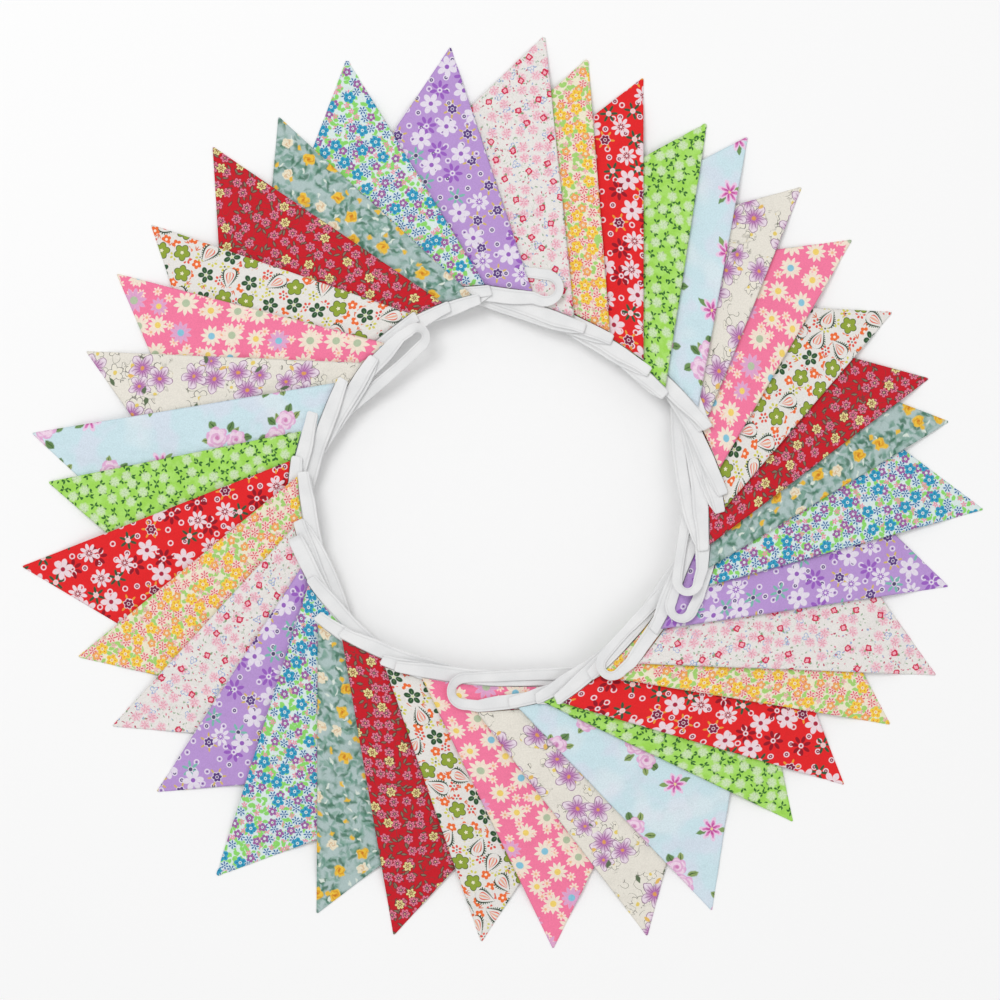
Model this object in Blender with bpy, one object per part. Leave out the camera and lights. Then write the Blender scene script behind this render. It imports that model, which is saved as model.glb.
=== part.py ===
"""Fabric bunting laid out as a ring on a flat surface: 36 triangular pennants, each lying over the
one before it all the way round, joined by one narrow white binding tape that doubles back between
them. Metres, +Z up. The cloth rests on Z = 0 and the ring is centred on the origin."""

import collections
import math

import bmesh
import bpy
import numpy as np
from mathutils import Vector

# Driving dimensions, in millimetres and degrees
CLOTH_THICK = 1.02
TAPE_WIDE = 12.0
SEAM_GAP = 0.3
APEX_HALF_ANGLE = 26.0
LATTICE_CUTS = 7
HEM_PAST_CORNER = 3.0
CURL_RUN = 60.0
CURL_SHARE = 0.6
MOST_CURL = 0.27
RING_CENTRE = Vector((-1.9, 0.0))
FOLD_STEPS = 4
RETURN_STEPS = 7
LOOP_STEPS = 8

# Height gained from one pennant to the next, by radius
Pitch = collections.namedtuple("Pitch", "radius rise")
PITCHES = (Pitch(140.0, 2.9), Pitch(215.0, 2.85), Pitch(255.0, 2.5), Pitch(365.0, 2.05))

# Number of pennants that lie under the middle of one pennant, by radius
Lift = collections.namedtuple("Lift", "radius steps")
LIFTS = (
    Lift(120.0, 4.6),
    Lift(207.0, 4.55),
    Lift(232.0, 3.8),
    Lift(255.0, 2.6),
    Lift(275.0, 1.75),
    Lift(300.0, 0.6),
    Lift(315.0, -0.3),
    Lift(325.0, -0.6),
)
USUAL_TIP = 340.0
USUAL_SPACING = 9.0
CROWDED_LIFT = 5.0

# Shallow waves that the whole stack shares, faded out before the tips
Wave = collections.namedtuple("Wave", "length heading height")
WAVES = (Wave(150.0, 20.0, 0.3), Wave(97.0, 115.0, 0.16), Wave(61.0, 68.0, 0.05))
WAVE_FADE = (215.0, 300.0)

# One row a pennant, anticlockwise from the top: azimuth and radius of the tip, lean of the middle
# line from the radius, drop from tape to tip, width of the blunt tip, then the tape before it:
# how it turns, how far past the corner, how wide the turn is (minus where it lies outwards, over
# the cloth), and how far the strand before it bows towards the middle of the ring.
Row = collections.namedtuple("Row", "azimuth tip lean drop blunt turn reach wide inward")
PENNANTS = (
    Row(96.3, 337, -14.0, 175, 1.6, "loop", 24, -20, 13),
    Row(109.4, 346, -14.1, 180, 5.0, "flat", 2, 0, 24),
    Row(120.5, 328, -9.4, 175, 1.6, "flat", 3, 0, 2),
    Row(129.7, 338, -10.1, 185, 1.6, "flat", 2, 0, -7),
    Row(142.5, 331, -7.7, 181, 1.6, "flat", 1, 0, -9),
    Row(150.3, 332, -11.0, 185, 1.6, "loop", 30, 14, 4),
    Row(161.2, 329, -9.8, 184, 1.6, "flat", 6, 0, 10),
    Row(172.8, 355, -9.6, 204, 1.6, "flat", 3, 0, -7),
    Row(178.7, 340, -13.5, 175, 1.6, "flat", 14, 0, -3),
    Row(188.8, 364, -13.5, 195, 1.6, "flat", 2, 0, 5),
    Row(201.3, 341, -8.1, 188, 1.6, "flat", 1, 0, 8),
    Row(211.1, 341, -9.7, 180, 1.6, "flat", 2, 0, 12),
    Row(221.1, 343, -10.1, 178, 1.6, "end", 21, 0, 10),
    Row(233.5, 360, -7.3, 202, 5.0, "flat", 1, 0, 2),
    Row(246.5, 346, -3.0, 189, 1.6, "flat", 2, 0, -15),
    Row(256.5, 343, -2.9, 196, 1.6, "flat", 1, 0, -17),
    Row(267.6, 339, -4.6, 190, 1.6, "flat", 2, 0, -15),
    Row(276.6, 346, -7.0, 198, 1.6, "flat", 16, 0, -9),
    Row(288.3, 352, -7.3, 186, 1.6, "loop", 22, 20, 5),
    Row(296.8, 353, -9.4, 187, 1.6, "flat", 4, 0, -2),
    Row(311.6, 332, -3.5, 180, 1.6, "flat", 2, 0, -24),
    Row(319.6, 340, -2.1, 191, 1.6, "flat", 1, 0, -26),
    Row(329.2, 342, -5.0, 193, 1.6, "flat", 3, 0, -22),
    Row(337.2, 356, -5.7, 196, 1.6, "loop", 24, 17, -18),
    Row(348.1, 345, -5.9, 191, 1.6, "flat", 2, 0, -24),
    Row(357.9, 364, -8.6, 190, 1.6, "loop", 32, 17, -12),
    Row(368.9, 342, -3.8, 184, 1.6, "loop", 22, 16, 8),
    Row(374.8, 334, -3.9, 180, 1.6, "flat", 2, 0, 12),
    Row(384.6, 325, -1.5, 167, 1.6, "flat", 1, 0, 5),
    Row(395.6, 326, -2.0, 172, 1.6, "flat", 14, 0, -1),
    Row(405.3, 323, -3.8, 166, 1.6, "flat", 2, 0, -5),
    Row(415.1, 326, -1.8, 179, 1.6, "flat", 12, 0, -18),
    Row(420.7, 319, -5.9, 176, 4.5, "flat", 2, 0, -2),
    Row(430.9, 330, -7.1, 186, 1.6, "flat", 6, 0, 5),
    Row(438.5, 334, -10.1, 184, 6.0, "flat", 2, 0, 5),
    Row(444.3, 346, -14.5, 193, 6.0, "flat", 8, 0, 7),
)
COUNT = len(PENNANTS)
FIRST_ON_STRING = 13

# The twelve prints, in the order in which they come round, each with its cloth's overall colour
Cloth = collections.namedtuple("Cloth", "name colour")
CLOTHS = (
    Cloth("print_lilac", (0.46, 0.27, 0.66)),
    Cloth("print_mauve_ditsy", (0.42, 0.50, 0.68)),
    Cloth("print_grey_teal", (0.33, 0.50, 0.45)),
    Cloth("print_dark_red", (0.52, 0.07, 0.10)),
    Cloth("print_ivory_paisley", (0.72, 0.70, 0.52)),
    Cloth("print_pink_daisy", (0.90, 0.30, 0.43)),
    Cloth("print_ivory_line", (0.72, 0.68, 0.64)),
    Cloth("print_pale_blue_rose", (0.55, 0.70, 0.78)),
    Cloth("print_lime", (0.33, 0.68, 0.15)),
    Cloth("print_red_floral", (0.72, 0.07, 0.08)),
    Cloth("print_yellow_ditsy", (0.86, 0.58, 0.22)),
    Cloth("print_white_rosebud", (0.82, 0.72, 0.71)),
)
TAPE_COLOUR = (0.84, 0.84, 0.82)


def clear_scene():
    for obj in list(bpy.data.objects):
        bpy.data.objects.remove(obj, do_unlink=True)


def fabric(name, colour):
    material = bpy.data.materials.new(name)
    material.use_nodes = True
    shader = material.node_tree.nodes["Principled BSDF"]
    shader.inputs["Base Color"].default_value = (*colour, 1.0)
    shader.inputs["Roughness"].default_value = 0.85
    shader.inputs["Metallic"].default_value = 0.0
    material.diffuse_color = (*colour, 1.0)
    return material


def heading(degrees):
    return Vector((math.cos(math.radians(degrees)), math.sin(math.radians(degrees))))


def row_of(number):
    """The row of a pennant, and its tip azimuth carried on past the first turn of the ring."""
    turns, place = divmod(number - 1, COUNT)
    row = PENNANTS[place]
    return row, row.azimuth + 360.0 * turns


INDEX = np.arange(1 - COUNT, 2 * COUNT + 1)
AZIMUTH = np.array([row_of(int(number))[1] for number in INDEX])
TIP_RADIUS = np.array([row_of(int(number))[0].tip for number in INDEX])
SPACING = np.pad(np.diff(AZIMUTH), 1, constant_values=USUAL_SPACING)
NEAREST = np.minimum(SPACING[1:], SPACING[:-1])
REACH = TIP_RADIUS + CROWDED_LIFT * np.maximum(0.0, USUAL_SPACING - NEAREST)
SMOOTH = np.linspace(-12.0, 12.0, 13)


def smoothstep(value, low, high):
    share = min(max((value - low) / (high - low), 0.0), 1.0)
    return share * share * (3.0 - 2.0 * share)


def pennants_passed(azimuth, radius):
    """The number of the pennant whose tip is at this azimuth, evened out towards the middle."""
    even = float(np.mean(np.interp(azimuth + SMOOTH, AZIMUTH, INDEX)))
    exact = float(np.interp(azimuth, AZIMUTH, INDEX))
    share = 0.7 * smoothstep(radius, 255.0, 315.0)
    return even + (exact - even) * share


def rise_at(radius):
    return float(np.interp(radius, [p.radius for p in PITCHES], [p.rise for p in PITCHES]))


def waves_at(point, radius):
    total = 0.0
    for wave in WAVES:
        along = point.dot(heading(wave.heading))
        total += wave.height * math.sin(2.0 * math.pi * along / wave.length)
    return total * (1.0 - smoothstep(radius, *WAVE_FADE))


def underside(point, level):
    """Height of the underside of cloth of this level at a point. Levels count pennants."""
    arm = point - RING_CENTRE
    radius = arm.length
    near = row_of(round(level))[1]
    azimuth = math.degrees(math.atan2(arm.y, arm.x))
    azimuth += 360.0 * round((near - azimuth) / 360.0)
    reach = USUAL_TIP / float(np.interp(azimuth, AZIMUTH, REACH))
    scaled = radius * (1.0 + (reach - 1.0) * smoothstep(radius, 240.0, 310.0))
    lift = float(np.mean(np.interp(scaled + SMOOTH, *zip(*LIFTS))))
    steps = level - pennants_passed(azimuth, radius) + lift
    return max(0.0, rise_at(radius) * steps + waves_at(point, radius))


Sides = collections.namedtuple("Sides", "tip up across base cw half")


def sides_of(number):
    """Tip, middle line from tip to tape, direction along the tape clockwise, middle of the top
    edge, its clockwise corner before it curls in, and half its width."""
    row, azimuth = row_of(number)
    tip = RING_CENTRE + heading(azimuth) * row.tip
    up = heading(azimuth + 180.0 + row.lean)
    across = Vector((-up.y, up.x))
    base = tip + up * row.drop
    half = row.drop * math.tan(math.radians(APEX_HALF_ANGLE))
    return Sides(tip, up, across, base, base + across * half, half)


def curl_at(number, aside):
    """How far the top edge is drawn in there. Beside its clockwise corner it curls in to follow
    the ring, and the tape runs on straight past it."""
    sides = sides_of(number)
    arm = sides.cw - RING_CENTRE
    along_ring = Vector((arm.y, -arm.x))
    slope = min(CURL_SHARE * along_ring.dot(sides.up) / along_ring.dot(sides.across), MOST_CURL)
    share = max(0.0, 1.0 + (aside - sides.half) / CURL_RUN)
    return slope * CURL_RUN * (share * share / 2.0 if share < 1.0 else share - 0.5)


def drawn_in(number, along, aside):
    """A point of the flat pennant, measured from its tip, where it lies on the ring."""
    row = row_of(number)[0]
    sides = sides_of(number)
    foot = aside * row.drop / max(along, 1.0)
    stretch = 1.0 + curl_at(number, foot) / row.drop
    return sides.tip + (sides.up * along + sides.across * aside) * stretch


def pennant_mesh(number):
    """A triangle of cloth cut into a lattice, trimmed at the tip, laid on the stack."""
    row = row_of(number)[0]
    half = sides_of(number).half
    sheet = bmesh.new()
    corners = [sheet.verts.new(co) for co in ((0, 0, 0), (half, row.drop, 0), (-half, row.drop, 0))]
    sheet.faces.new(corners)
    bmesh.ops.subdivide_edges(sheet, edges=sheet.edges, cuts=LATTICE_CUTS, use_grid_fill=True)
    trim = row.blunt / (2.0 * math.tan(math.radians(APEX_HALF_ANGLE)))
    whole = list(sheet.verts) + list(sheet.edges) + list(sheet.faces)
    bmesh.ops.bisect_plane(
        sheet, geom=whole, plane_co=(0, trim, 0), plane_no=(0, -1, 0), clear_outer=True
    )
    bmesh.ops.triangulate(sheet, faces=sheet.faces)
    for vert in sheet.verts:
        place = drawn_in(number, vert.co.y, vert.co.x)
        vert.co = (place.x, place.y, underside(place, number))
    top = bmesh.ops.extrude_face_region(sheet, geom=list(sheet.faces))
    raised = [item for item in top["geom"] if isinstance(item, bmesh.types.BMVert)]
    bmesh.ops.translate(sheet, verts=raised, vec=(0, 0, CLOTH_THICK))
    bmesh.ops.recalc_face_normals(sheet, faces=sheet.faces)
    return sheet


class Ribbon:
    """Sections of the tape from end to end: two edge points and the direction of its face."""

    def __init__(self):
        self.rings = []
        self.face = 1.0
        self.left = 1.0

    def flat(self, centre, across, level):
        half = TAPE_WIDE / 2.0
        ring = []
        ends = [centre - across * half, centre + across * half]
        heights = [underside(end, level) + CLOTH_THICK / 2.0 for end in ends]
        for side, other in ((0, 1.0), (1, 1.0), (1, -1.0), (0, -1.0)):
            up = CLOTH_THICK / 2.0 * other * self.face
            ring.append(Vector((ends[side].x, ends[side].y, heights[side] + up)))
        self.rings.append(ring)

    def fold(self, centre, arriving, leaving, across, level):
        """A flat fold up onto the next half level, about a crease that turns one run into the
        other."""
        out = (arriving - leaving).normalized()
        crease = Vector((-out.y, out.x))
        if crease.dot(across) < 0.0:
            crease = -crease
        half = TAPE_WIDE / 2.0 / max(abs(crease.dot(across)), 0.5)
        ends = [centre - crease * half, centre + crease * half]
        low = [underside(end, level) + CLOTH_THICK / 2.0 for end in ends]
        bend = [(underside(end, level + 0.5) + CLOTH_THICK / 2.0 - z) / 2.0 for end, z in zip(ends, low)]
        for step in range(FOLD_STEPS + 1):
            turn = math.pi * step / FOLD_STEPS
            face = Vector((-math.sin(turn) * out.x, -math.sin(turn) * out.y, math.cos(turn)))
            ring = []
            for side, other in ((0, 1.0), (1, 1.0), (1, -1.0), (0, -1.0)):
                spot = ends[side] + out * (bend[side] * math.sin(turn))
                height = low[side] + bend[side] * (1.0 - math.cos(turn))
                half_thick = CLOTH_THICK / 2.0 * other * self.face
                ring.append(Vector((spot.x, spot.y, height)) + face * half_thick)
            self.rings.append(ring)
        self.face = -self.face

    def solid(self):
        tape = bmesh.new()
        rings = [[tape.verts.new(point) for point in ring] for ring in self.rings]
        for ring, after in zip(rings, rings[1:]):
            for side in range(4):
                following = (side + 1) % 4
                tape.faces.new((ring[side], ring[following], after[following], after[side]))
        tape.faces.new(rings[0])
        tape.faces.new(rings[-1])
        bmesh.ops.triangulate(tape, faces=tape.faces)
        bmesh.ops.recalc_face_normals(tape, faces=tape.faces)
        return tape


def bezier(points, share):
    rest = 1.0 - share
    a, b, c, d = points
    return a * rest**3 + b * (3 * rest * rest * share) + c * (3 * rest * share * share) + d * share**3


def seam(number, aside):
    """Middle of the tape beside a point of the top edge, and the direction across it, inwards."""
    drop = row_of(number)[0].drop
    before, after = (drawn_in(number, drop, aside + step) for step in (-1.0, 1.0))
    along = (after - before).normalized()
    inwards = Vector((along.y, -along.x))
    return (before + after) / 2.0 + inwards * (SEAM_GAP + TAPE_WIDE / 2.0), inwards


def binding_run(number):
    """How far aside the tape starts on a pennant, and how far aside it leaves it."""
    row = row_of(number)[0]
    half = sides_of(number).half
    past = row.reach
    if row.turn == "loop":
        past -= (abs(row.wide) + TAPE_WIDE) / 2.0
    return half + past, -half - HEM_PAST_CORNER


def lay_binding(tape, number):
    """The tape along a pennant, bent where the edge of the cloth is bent."""
    start, finish = binding_run(number)
    half = sides_of(number).half
    step = 2.0 * half / (LATTICE_CUTS + 1)
    for place in range(LATTICE_CUTS + 1):
        aside = half - place * step
        if start - aside > TAPE_WIDE / 2.0:
            middle, inwards = seam(number, aside)
            tape.flat(middle, inwards * tape.left, number)


def lay_return(tape, number):
    """The fold after a pennant, the strand back along the ring, and the turn to the next one."""
    row = row_of(number + 1)[0]
    leave, inwards = seam(number, binding_run(number)[1])
    arrive, next_inwards = seam(number + 1, binding_run(number + 1)[0])
    onwards = Vector((next_inwards.y, -next_inwards.x))
    back = Vector((-inwards.y, inwards.x))
    if row.turn == "loop":
        arrive = arrive + next_inwards * row.wide
    run = (arrive - leave).normalized()
    middlewards = Vector((run.y, -run.x))
    if middlewards.dot(RING_CENTRE - leave) < 0.0:
        middlewards = -middlewards
    third = (arrive - leave).length / 3.0
    push = middlewards * (row.inward * 4.0 / 3.0)
    last = arrive - run * third + push
    if row.turn == "loop":
        last = arrive + onwards * third
    path = (leave, leave + run * third + push, last, arrive)
    tape.fold(leave, -back, (path[1] - path[0]).normalized(), inwards * tape.left, number)
    for step in range(1, RETURN_STEPS):
        share = step / RETURN_STEPS
        along = (bezier(path, share + 0.01) - bezier(path, share - 0.01)).normalized()
        across = Vector((-along.y, along.x))
        if across.dot(next_inwards) * tape.left < 0.0:
            across = -across
        tape.flat(bezier(path, share), across, number + 0.5)
    if row.turn == "flat":
        arriving = (path[3] - path[2]).normalized()
        tape.fold(arrive, arriving, onwards, next_inwards * tape.left, number + 0.5)
        return
    middle = arrive - next_inwards * (row.wide / 2.0)
    side = math.copysign(1.0, row.wide)
    for step in range(LOOP_STEPS + 1):
        turn = math.pi * step / LOOP_STEPS
        out = next_inwards * (side * math.cos(turn)) - onwards * math.sin(turn)
        level = number + 0.5 + 0.5 * step / LOOP_STEPS
        tape.flat(middle + out * (abs(row.wide) / 2.0), out * (side * tape.left), level)
    tape.left = -tape.left


def tape_mesh():
    tape = Ribbon()
    start, inwards = seam(FIRST_ON_STRING, binding_run(FIRST_ON_STRING)[0])
    tape.flat(start, inwards * tape.left, FIRST_ON_STRING)
    last = FIRST_ON_STRING + COUNT - 1
    for number in range(FIRST_ON_STRING, last + 1):
        lay_binding(tape, number)
        if number < last:
            lay_return(tape, number)
    finish, inwards = seam(last, binding_run(last)[1])
    tape.flat(finish, inwards * tape.left, last)
    return tape.solid()


def main():
    clear_scene()
    collection = bpy.data.collections.new("fabric_bunting_ring")
    bpy.context.scene.collection.children.link(collection)
    materials = [fabric(cloth.name, cloth.colour) for cloth in CLOTHS]
    white = fabric("tape_white", TAPE_COLOUR)
    shapes = {}
    for number in range(1, COUNT + 1):
        shapes[f"pennant_{number:02d}"] = (pennant_mesh(number), materials[(number - 1) % len(CLOTHS)])
    shapes["tape"] = (tape_mesh(), white)
    ends = np.array([v.co[:] for sheet, _ in shapes.values() for v in sheet.verts])
    middle = (ends.min(axis=0) + ends.max(axis=0)) / 2.0
    shift = Vector((-middle[0], -middle[1], -float(ends[:, 2].min())))
    for name, (sheet, material) in shapes.items():
        bmesh.ops.translate(sheet, verts=sheet.verts, vec=shift)
        bmesh.ops.scale(sheet, verts=sheet.verts, vec=(0.001, 0.001, 0.001))
        mesh = bpy.data.meshes.new(name)
        sheet.to_mesh(mesh)
        sheet.free()
        mesh.materials.append(material)
        collection.objects.link(bpy.data.objects.new(name, mesh))


main()
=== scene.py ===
"""Looks for the ring of fabric bunting: 36 printed pennants and their white binding tape."""

import collections
import math

import bmesh
import bpy
import numpy as np
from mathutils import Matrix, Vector, noise


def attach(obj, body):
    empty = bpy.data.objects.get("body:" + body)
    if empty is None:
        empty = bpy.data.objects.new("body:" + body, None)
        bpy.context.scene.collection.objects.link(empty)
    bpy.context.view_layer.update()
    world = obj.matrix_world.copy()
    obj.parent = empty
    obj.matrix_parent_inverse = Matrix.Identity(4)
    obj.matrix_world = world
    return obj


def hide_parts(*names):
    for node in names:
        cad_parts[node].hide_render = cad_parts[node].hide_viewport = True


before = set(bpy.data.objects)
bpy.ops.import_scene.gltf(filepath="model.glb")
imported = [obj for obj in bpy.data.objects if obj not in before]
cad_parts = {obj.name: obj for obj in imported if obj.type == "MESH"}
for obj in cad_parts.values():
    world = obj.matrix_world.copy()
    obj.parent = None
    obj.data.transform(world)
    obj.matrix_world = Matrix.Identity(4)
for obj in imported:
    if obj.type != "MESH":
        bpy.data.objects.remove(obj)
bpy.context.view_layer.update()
MM = 0.001

# Layout, the same as in the part's source: millimetres and degrees
TAPE_WIDE = 12.0
SEAM_GAP = 0.3
APEX_HALF_ANGLE = 26.0
HEM_PAST_CORNER = 3.0
CURL_RUN = 60.0
CURL_SHARE = 0.6
MOST_CURL = 0.27
RING_CENTRE = Vector((-1.9, 0.0))
FRAME_SHIFT = Vector((-0.1732, 1.2599, 0.0))
PITCHES = ((140.0, 2.9), (215.0, 2.85), (255.0, 2.5), (365.0, 2.05))
LIFTS = ((120.0, 4.6), (207.0, 4.55), (232.0, 3.8), (255.0, 2.6), (275.0, 1.75), (300.0, 0.6))
LIFTS += ((315.0, -0.3), (325.0, -0.6))
USUAL_TIP = 340.0
USUAL_SPACING = 9.0
CROWDED_LIFT = 5.0
WAVES = ((150.0, 20.0, 0.3), (97.0, 115.0, 0.16), (61.0, 68.0, 0.05))
WAVE_FADE = (215.0, 300.0)

# Looks only: thicknesses, waves of the soft cloth, mesh steps, and the tape's narrower places
CLOTH_THICK = 0.75
RIM_SHARE = 0.35
HEM_ENDS = (4.5, 7.5)
HEM_SHARE = 0.2
RIPPLE_SCALE = 0.02
RIPPLES = ((1.0, 0.42), (2.7, 0.18))
TAPE_THICK = 0.8
SOFT_WAVES = ((47.0, 35.0, 0.55), (31.0, 140.0, 0.38), (23.0, 85.0, 0.2))
TAPE_WAVES = ((36.0, 12.0, 0.5), (29.0, 78.0, 0.42), (33.0, 130.0, 0.42))
LEAST_BLUNT = 3.2
TIP_START = 0.6
TIP_SHORT = 0.25
TIP_ROUND = 1.6
OUTER_SHARE = 0.8
ROWS = 44
COLUMNS = 18
FOLD_STEPS = 8
BINDING_STEP = 7.0
RETURN_STEPS = 22
LOOP_STEPS = 20
LOOP_BANK = 5.0
NOSE_RUN = 26.0
NOSE_SHARE = 0.74
LOOP_WIDTH = 0.7
LOOP_PINCH = 0.16
LOOP_SPREAD = 0.12
STRAND_WIDTH = 0.86
STITCH_FROM_MIDDLE = 3.9
STITCH_LONG = 2.6

# One row a pennant, anticlockwise from the top: azimuth and radius of the tip, lean of the middle
# line from the radius, drop from tape to tip, width of the blunt tip, then the tape before it:
# how it turns, how far past the corner, how wide the turn is (minus where it lies outwards, over
# the cloth), and how far the strand before it bows towards the middle of the ring.
Row = collections.namedtuple("Row", "azimuth tip lean drop blunt turn reach wide inward")
PENNANTS = (
    Row(96.3, 337, -14.0, 175, 1.6, "loop", 24, -20, 13),
    Row(109.4, 346, -14.1, 180, 5.0, "flat", 2, 0, 24),
    Row(120.5, 328, -9.4, 175, 1.6, "flat", 3, 0, 2),
    Row(129.7, 338, -10.1, 185, 1.6, "flat", 2, 0, -7),
    Row(142.5, 331, -7.7, 181, 1.6, "flat", 1, 0, -9),
    Row(150.3, 332, -11.0, 185, 1.6, "loop", 30, 14, 4),
    Row(161.2, 329, -9.8, 184, 1.6, "flat", 6, 0, 10),
    Row(172.8, 355, -9.6, 204, 1.6, "flat", 3, 0, -7),
    Row(178.7, 340, -13.5, 175, 1.6, "flat", 14, 0, -3),
    Row(188.8, 364, -13.5, 195, 1.6, "flat", 2, 0, 5),
    Row(201.3, 341, -8.1, 188, 1.6, "flat", 1, 0, 8),
    Row(211.1, 341, -9.7, 180, 1.6, "flat", 2, 0, 12),
    Row(221.1, 343, -10.1, 178, 1.6, "end", 21, 0, 10),
    Row(233.5, 360, -7.3, 202, 5.0, "flat", 1, 0, 2),
    Row(246.5, 346, -3.0, 189, 1.6, "flat", 2, 0, -15),
    Row(256.5, 343, -2.9, 196, 1.6, "flat", 1, 0, -17),
    Row(267.6, 339, -4.6, 190, 1.6, "flat", 2, 0, -15),
    Row(276.6, 346, -7.0, 198, 1.6, "flat", 16, 0, -9),
    Row(288.3, 352, -7.3, 186, 1.6, "loop", 22, 20, 5),
    Row(296.8, 353, -9.4, 187, 1.6, "flat", 4, 0, -2),
    Row(311.6, 332, -3.5, 180, 1.6, "flat", 2, 0, -24),
    Row(319.6, 340, -2.1, 191, 1.6, "flat", 1, 0, -26),
    Row(329.2, 342, -5.0, 193, 1.6, "flat", 3, 0, -22),
    Row(337.2, 356, -5.7, 196, 1.6, "loop", 24, 17, -18),
    Row(348.1, 345, -5.9, 191, 1.6, "flat", 2, 0, -24),
    Row(357.9, 364, -8.6, 190, 1.6, "loop", 32, 17, -12),
    Row(368.9, 342, -3.8, 184, 1.6, "loop", 22, 16, 8),
    Row(374.8, 334, -3.9, 180, 1.6, "flat", 2, 0, 12),
    Row(384.6, 325, -1.5, 167, 1.6, "flat", 1, 0, 5),
    Row(395.6, 326, -2.0, 172, 1.6, "flat", 14, 0, -1),
    Row(405.3, 323, -3.8, 166, 1.6, "flat", 2, 0, -5),
    Row(415.1, 326, -1.8, 179, 1.6, "flat", 12, 0, -18),
    Row(420.7, 319, -5.9, 176, 4.5, "flat", 2, 0, -2),
    Row(430.9, 330, -7.1, 186, 1.6, "flat", 6, 0, 5),
    Row(438.5, 334, -10.1, 184, 6.0, "flat", 2, 0, 5),
    Row(444.3, 346, -14.5, 193, 6.0, "flat", 8, 0, 7),
)
COUNT = len(PENNANTS)
FIRST_ON_STRING = 13


def heading(degrees):
    return Vector((math.cos(math.radians(degrees)), math.sin(math.radians(degrees))))


def row_of(number):
    turns, place = divmod(number - 1, COUNT)
    row = PENNANTS[place]
    return row, row.azimuth + 360.0 * turns


INDEX = np.arange(1 - COUNT, 2 * COUNT + 1)
AZIMUTH = np.array([row_of(int(number))[1] for number in INDEX])
TIP_RADIUS = np.array([row_of(int(number))[0].tip for number in INDEX])
SPACING = np.pad(np.diff(AZIMUTH), 1, constant_values=USUAL_SPACING)
NEAREST = np.minimum(SPACING[1:], SPACING[:-1])
REACH = TIP_RADIUS + CROWDED_LIFT * np.maximum(0.0, USUAL_SPACING - NEAREST)
SMOOTH = np.linspace(-12.0, 12.0, 13)


def smoothstep(value, low, high):
    share = min(max((value - low) / (high - low), 0.0), 1.0)
    return share * share * (3.0 - 2.0 * share)


def pennants_passed(azimuth, radius):
    even = float(np.mean(np.interp(azimuth + SMOOTH, AZIMUTH, INDEX)))
    exact = float(np.interp(azimuth, AZIMUTH, INDEX))
    return even + (exact - even) * 0.7 * smoothstep(radius, 255.0, 315.0)


def sum_of_waves(waves, point):
    return sum(
        height * math.sin(2.0 * math.pi * point.dot(heading(turn)) / length)
        for length, turn, height in waves
    )


def waves_at(point, radius):
    """Waves that the whole stack shares. In the outer part they only lift the cloth."""
    soft = sum_of_waves(SOFT_WAVES, point)
    near_tape = 1.0 - smoothstep(radius, 128.0, 165.0)
    inner = sum_of_waves(WAVES, point) + soft + near_tape * sum_of_waves(TAPE_WAVES, point)
    outer = OUTER_SHARE * (soft + sum(height for _, _, height in SOFT_WAVES))
    return inner + (outer - inner) * smoothstep(radius, *WAVE_FADE)


def underside(point, level):
    """Height of the underside of cloth of this level. Levels count pennants round the ring."""
    arm = point - RING_CENTRE
    radius = arm.length
    near = row_of(round(level))[1]
    azimuth = math.degrees(math.atan2(arm.y, arm.x))
    azimuth += 360.0 * round((near - azimuth) / 360.0)
    reach = USUAL_TIP / float(np.interp(azimuth, AZIMUTH, REACH))
    scaled = radius * (1.0 + (reach - 1.0) * smoothstep(radius, 240.0, 310.0))
    lift = float(np.mean(np.interp(scaled + SMOOTH, *zip(*LIFTS))))
    steps = level - pennants_passed(azimuth, radius) + lift
    rise = float(np.interp(radius, *zip(*PITCHES)))
    return max(0.0, rise * steps + waves_at(point, radius))


Sides = collections.namedtuple("Sides", "tip up across base cw half")


def sides_of(number):
    """Tip, middle line from tip to tape, direction along the tape clockwise, middle of the top
    edge, its clockwise corner before it curls in, and half its width."""
    row, azimuth = row_of(number)
    tip = RING_CENTRE + heading(azimuth) * row.tip
    up = heading(azimuth + 180.0 + row.lean)
    across = Vector((-up.y, up.x))
    base = tip + up * row.drop
    half = row.drop * math.tan(math.radians(APEX_HALF_ANGLE))
    return Sides(tip, up, across, base, base + across * half, half)


def curl_at(number, aside):
    """How far the top edge is drawn in there. Beside its clockwise corner it curls in to follow
    the ring, and the tape runs on straight past it."""
    sides = sides_of(number)
    arm = sides.cw - RING_CENTRE
    along_ring = Vector((arm.y, -arm.x))
    slope = min(CURL_SHARE * along_ring.dot(sides.up) / along_ring.dot(sides.across), MOST_CURL)
    share = max(0.0, 1.0 + (aside - sides.half) / CURL_RUN)
    return slope * CURL_RUN * (share * share / 2.0 if share < 1.0 else share - 0.5)


def drawn_in(number, along, aside):
    """A point of the flat pennant, measured from its tip, where it lies on the ring."""
    row = row_of(number)[0]
    sides = sides_of(number)
    foot = aside * row.drop / max(along, 1.0)
    stretch = 1.0 + curl_at(number, foot) / row.drop
    return sides.tip + (sides.up * along + sides.across * aside) * stretch


def piece(name, mesh, material, node):
    for vert in mesh.verts:
        vert.co = (Vector(vert.co) + FRAME_SHIFT) * MM
    bmesh.ops.recalc_face_normals(mesh, faces=mesh.faces)
    data = bpy.data.meshes.new(name)
    mesh.to_mesh(data)
    mesh.free()
    data.polygons.foreach_set("use_smooth", [True] * len(data.polygons))
    data.materials.append(material)
    obj = bpy.data.objects.new(name, data)
    bpy.context.scene.collection.objects.link(obj)
    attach(obj, "root")
    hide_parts(node)
    return obj


# Pennants


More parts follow.
